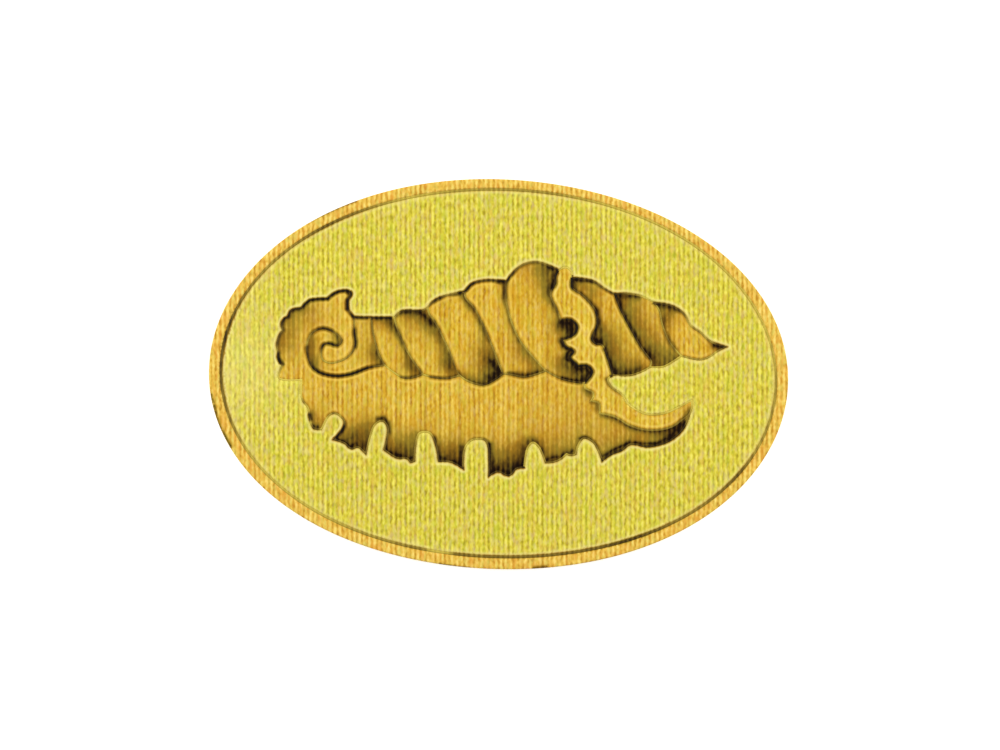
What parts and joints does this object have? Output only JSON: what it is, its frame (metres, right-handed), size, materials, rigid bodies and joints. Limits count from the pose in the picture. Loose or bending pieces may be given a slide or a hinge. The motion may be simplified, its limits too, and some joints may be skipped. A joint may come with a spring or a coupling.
{
  "type": "marquetry inlay",
  "caption": "Oval veneer inlay with a sand-shaded conch shell sawn from light and dark leaves, set in a yellow-green ground inside a narrow light band, on a paper backing.",
  "frame": {"origin": "middle of the underside of the backing paper, where the inlay is glued down", "axes": "+Z out of the picture face, +X along the oval's length towards the shell's pointed end, +Y towards the shell's flaring rims"},
  "size_m": [0.0948, 0.0638, 0.001],
  "materials": {
    "backing_paper": "brown gummed paper",
    "band_veneer": "boxwood band, sanded and waxed",
    "ground_veneer": "green-stained satinwood, sanded and waxed",
    "body_veneer": "sand-shaded holly, yellowed",
    "whorl_veneer": "sand-shaded holly, yellowed",
    "lip_veneer": "plain holly, yellowed"
  },
  "bodies": {
    "root": {"backing_paper": "backing_paper", "border_band": "band_veneer", "ground": "ground_veneer", "shell_body": "body_veneer", "shell_lip": "lip_veneer", "shell_whorl_1": "whorl_veneer", "shell_whorl_2": "whorl_veneer", "shell_whorl_3": "whorl_veneer", "shell_whorl_4": "whorl_veneer", "shell_whorl_5": "whorl_veneer", "shell_whorl_6": "whorl_veneer", "shell_whorl_7": "whorl_veneer", "shell_whorl_8": "whorl_veneer", "shell_whorl_9": "whorl_veneer"}
  },
  "joints": []
}
